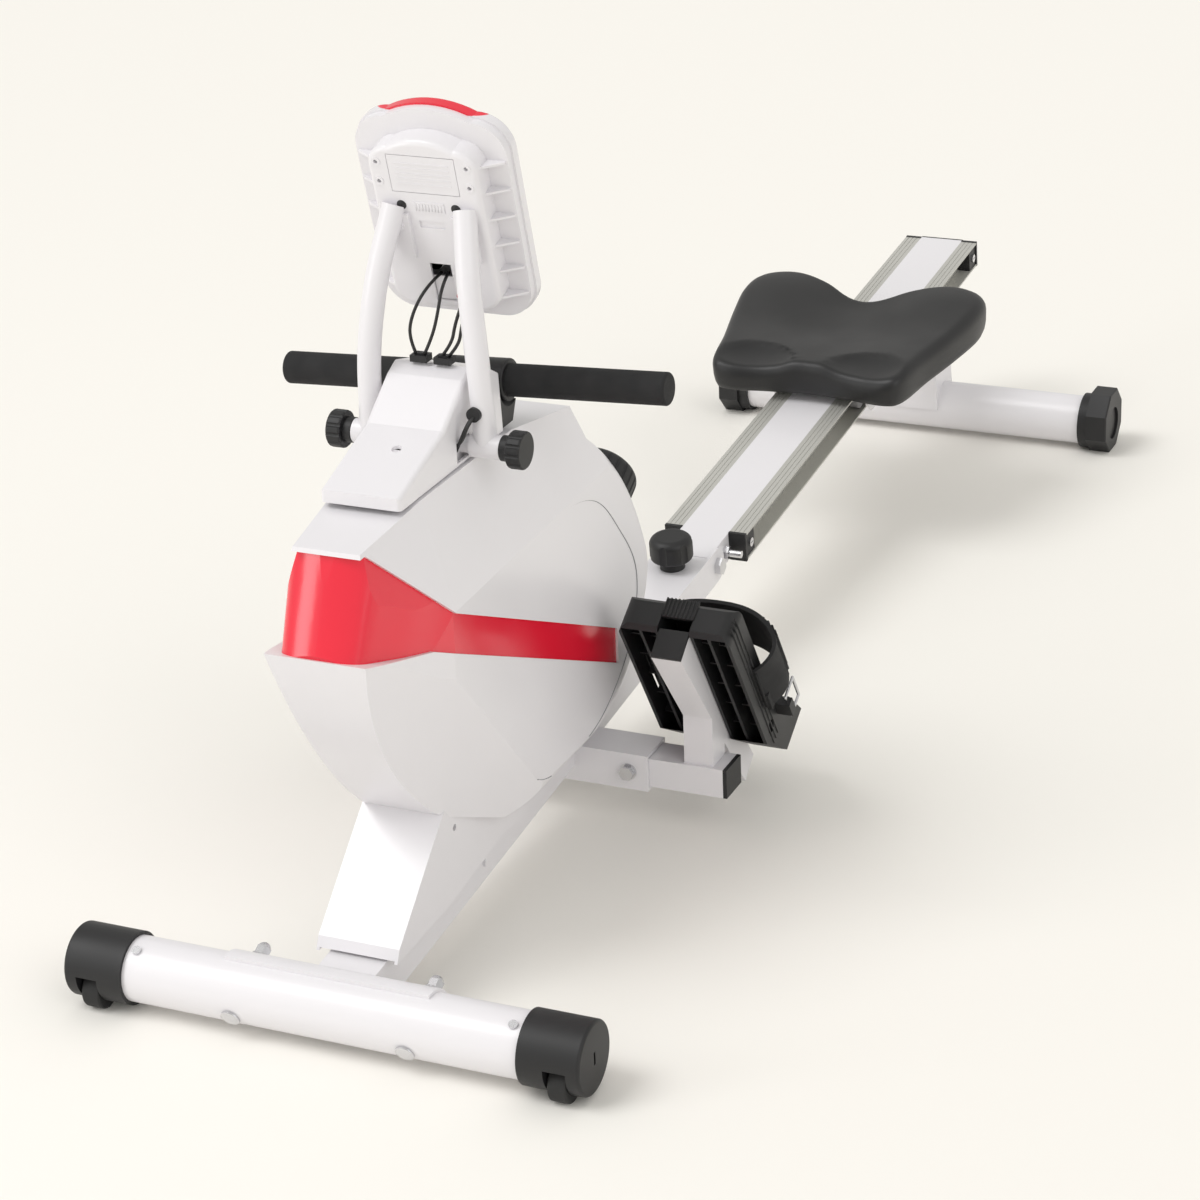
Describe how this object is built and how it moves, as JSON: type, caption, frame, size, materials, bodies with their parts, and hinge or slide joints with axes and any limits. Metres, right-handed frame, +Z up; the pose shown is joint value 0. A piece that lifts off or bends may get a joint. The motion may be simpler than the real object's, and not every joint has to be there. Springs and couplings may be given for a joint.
{
  "type": "rowing machine",
  "caption": "Folding magnetic rowing machine with a rolling seat on a sloping rail, strap-pulled handle, enclosed flywheel, tilting console and adjustable foot plates.",
  "frame": {"origin": "on the floor under the middle of the machine's length and width", "axes": "+Y from the front foot towards the rail's far end, +X to the right seen from the front foot, +Z up"},
  "size_m": [0.516, 1.7392, 0.767],
  "materials": {
    "white_steel": "satin powder coat",
    "white_plastic": "satin to gloss moulded",
    "red_plastic": "glossy",
    "black_plastic": "fine grain matte",
    "black_foam": "closed-cell foam skin",
    "wheel_rubber": "matte",
    "aluminium": "satin anodised",
    "bolts": "bright zinc plated",
    "cast_iron": "turned and painted",
    "drive_plastic": "moulded nylon",
    "belt": "ribbed",
    "webbing": "woven nylon",
    "screen": "clear",
    "grey_roller": "nylon",
    "cable": "soft jacket",
    "seat_foam": "self-skinned polyurethane foam, fine leather grain"
  },
  "bodies": {
    "frame": {"front_foot_tube": "white_steel", "front_cap_left": "black_plastic", "front_cap_right": "black_plastic", "main_frame": "white_steel", "mast": "white_steel", "frame_bolts": "bolts", "housing_left": "white_plastic", "housing_right": "white_plastic", "band_left": "red_plastic", "band_right": "red_plastic", "head_cover": "white_plastic", "handle_cradle": "black_plastic", "drive_axles": "bolts", "drive_belt": "belt", "pull_strap": "webbing", "foot_bar": "white_steel", "foot_bar_plugs": "black_plastic", "fold_bolt": "bolts"},
    "wheel_left": {"transport_wheel_left": "wheel_rubber"},
    "wheel_right": {"transport_wheel_right": "wheel_rubber"},
    "flywheel": {"flywheel": "cast_iron"},
    "drum": {"strap_drum": "drive_plastic"},
    "pulley": {"drive_pulley": "drive_plastic"},
    "guide": {"guide_roller": "drive_plastic"},
    "magnets": {"magnet_bracket": "bolts"},
    "dial": {"resistance_knob": "black_plastic"},
    "handle": {"handle_bar": "white_steel", "handle_grips": "black_foam", "handle_centre": "black_plastic"},
    "console": {"console_fork": "white_steel", "console_back": "white_plastic", "console_front": "white_plastic", "console_lens": "screen", "console_leads": "cable", "lead_connectors": "black_plastic"},
    "door": {"battery_door": "white_plastic"},
    "button_left": {"console_button_left": "black_plastic"},
    "button_right": {"console_button_right": "black_plastic"},
    "knob_left": {"pivot_knob_left": "black_plastic"},
    "knob_right": {"pivot_knob_right": "black_plastic"},
    "plate_left": {"footplate_left": "black_plastic", "foot_strap_left": "black_foam"},
    "plate_right": {"footplate_right": "black_plastic", "foot_strap_right": "black_foam"},
    "ring_left": {"strap_ring_left": "bolts"},
    "ring_right": {"strap_ring_right": "bolts"},
    "lock": {"lock_knob": "black_plastic"},
    "rail": {"rail_beam": "white_steel", "rail_channel_left": "aluminium", "rail_channel_right": "aluminium", "rail_end_plugs": "black_plastic", "rail_bolts": "bolts", "rear_foot": "white_steel"},
    "level_left": {"levelling_cap_left": "black_plastic"},
    "level_right": {"levelling_cap_right": "black_plastic"},
    "seat": {"seat_cushion": "seat_foam", "seat_carriage": "white_steel", "seat_bolts": "bolts"},
    "rollers_front": {"seat_rollers_front": "grey_roller"},
    "rollers_rear": {"seat_rollers_rear": "grey_roller"}
  },
  "joints": [
    {"name": "wheel_left_spin", "type": "hinge", "parent": "frame", "child": "wheel_left", "pos_m": [-0.227, -0.84812, 0.018], "axis": [1, 0, 0], "continuous": true},
    {"name": "wheel_right_spin", "type": "hinge", "parent": "frame", "child": "wheel_right", "pos_m": [0.227, -0.84812, 0.018], "axis": [1, 0, 0], "continuous": true},
    {"name": "flywheel_spin", "type": "hinge", "parent": "frame", "child": "flywheel", "pos_m": [0, -0.43112, 0.24], "axis": [1, 0, 0], "continuous": true},
    {"name": "pulley_spin", "type": "hinge", "parent": "frame", "child": "pulley", "pos_m": [0.02, -0.61412, 0.325], "axis": [1, 0, 0], "continuous": true},
    {"name": "drum_spin", "type": "hinge", "parent": "frame", "child": "drum", "pos_m": [0, -0.61412, 0.325], "axis": [1, 0, 0], "range_deg": [-1795, 5]},
    {"name": "guide_spin", "type": "hinge", "parent": "frame", "child": "guide", "pos_m": [0, -0.53612, 0.478], "axis": [1, 0, 0], "range_deg": [-4267, 5]},
    {"name": "handle_pull", "type": "slide", "parent": "frame", "child": "handle", "axis": [0, 1, 0], "range_m": [0, 0.9], "stiffness_N_per_m": 15, "springref_m": -0.5, "deforming": ["pull_strap"]},
    {"name": "dial_turn", "type": "hinge", "parent": "frame", "child": "dial", "pos_m": [0.024, -0.2973, 0.31418], "axis": [0, 0.8746, 0.4848], "range_deg": [0, 270]},
    {"name": "magnet_swing", "type": "hinge", "parent": "frame", "child": "magnets", "pos_m": [0, -0.49112, 0.368], "axis": [1, 0, 0], "range_deg": [0, 8]},
    {"name": "console_tilt", "type": "hinge", "parent": "frame", "child": "console", "pos_m": [0, -0.58612, 0.472], "axis": [1, 0, 0], "range_deg": [0, 25], "deforming": ["console_leads"]},
    {"name": "knob_left_turn", "type": "hinge", "parent": "frame", "child": "knob_left", "pos_m": [-0.08, -0.58612, 0.472], "axis": [1, 0, 0], "continuous": true},
    {"name": "knob_right_turn", "type": "hinge", "parent": "frame", "child": "knob_right", "pos_m": [0.08, -0.58612, 0.472], "axis": [1, 0, 0], "continuous": true},
    {"name": "battery_door_open", "type": "hinge", "parent": "console", "child": "door", "pos_m": [0, -0.56267, 0.68798], "axis": [1, 0, 0], "range_deg": [0, 80]},
    {"name": "button_left_press", "type": "slide", "parent": "console", "child": "button_left", "axis": [0, -0.9659, -0.2588], "range_m": [0, 0.001], "stiffness_N_per_m": 400, "springref_m": -0.0005},
    {"name": "button_right_press", "type": "slide", "parent": "console", "child": "button_right", "axis": [0, -0.9659, -0.2588], "range_m": [0, 0.001], "stiffness_N_per_m": 400, "springref_m": -0.0005},
    {"name": "plate_left_adjust", "type": "slide", "parent": "frame", "child": "plate_left", "axis": [0, 0.6157, -0.788], "range_m": [-0.02, 0.02]},
    {"name": "ring_left_swing", "type": "hinge", "parent": "plate_left", "child": "ring_left", "pos_m": [-0.2235, -0.30012, 0.1178], "axis": [0, 0.5373, -0.8434], "range_deg": [-60, 5]},
    {"name": "plate_right_adjust", "type": "slide", "parent": "frame", "child": "plate_right", "axis": [0, 0.6157, -0.788], "range_m": [-0.02, 0.02]},
    {"name": "ring_right_swing", "type": "hinge", "parent": "plate_right", "child": "ring_right", "pos_m": [0.2235, -0.30012, 0.1178], "axis": [0, 0.5373, -0.8434], "range_deg": [-5, 60]},
    {"name": "lock_knob_pull", "type": "slide", "parent": "frame", "child": "lock", "axis": [0, -0.0985, 0.9951], "range_m": [0, 0.012], "stiffness_N_per_m": 600, "springref_m": -0.005},
    {"name": "rail_fold", "type": "hinge", "parent": "frame", "child": "rail", "pos_m": [0, -0.00062, 0.11858], "axis": [1, 0, 0], "range_deg": [0, 85]},
    {"name": "level_left_turn", "type": "hinge", "parent": "rail", "child": "level_left", "pos_m": [-0.22, 0.76288, 0.034], "axis": [1, 0, 0], "range_deg": [0, 180]},
    {"name": "level_right_turn", "type": "hinge", "parent": "rail", "child": "level_right", "pos_m": [0.22, 0.76288, 0.034], "axis": [1, 0, 0], "range_deg": [0, 180]},
    {"name": "seat_roll", "type": "slide", "parent": "rail", "child": "seat", "axis": [0, 0.9951, 0.0985], "range_m": [-0.32, 0.25]},
    {"name": "rollers_front_spin", "type": "hinge", "parent": "seat", "child": "rollers_front", "pos_m": [0, 0.42725, 0.16141], "axis": [1, 0, 0], "range_deg": [-1107, 1415]},
    {"name": "rollers_rear_spin", "type": "hinge", "parent": "seat", "child": "rollers_rear", "pos_m": [0, 0.55064, 0.17362], "axis": [1, 0, 0], "range_deg": [-1107, 1415]}
  ],
  "couplings": [
    {"joint": "pulley_spin", "follows": "flywheel_spin", "ratio": 0.29412},
    {"joint": "drum_spin", "follows": "handle_pull", "rad_per_m": -34.722},
    {"joint": "guide_spin", "follows": "handle_pull", "rad_per_m": -82.645},
    {"joint": "magnet_swing", "follows": "dial_turn", "ratio": 0.02963},
    {"joint": "rollers_front_spin", "follows": "seat_roll", "rad_per_m": -76.923},
    {"joint": "rollers_rear_spin", "follows": "seat_roll", "rad_per_m": -76.923}
  ]
}
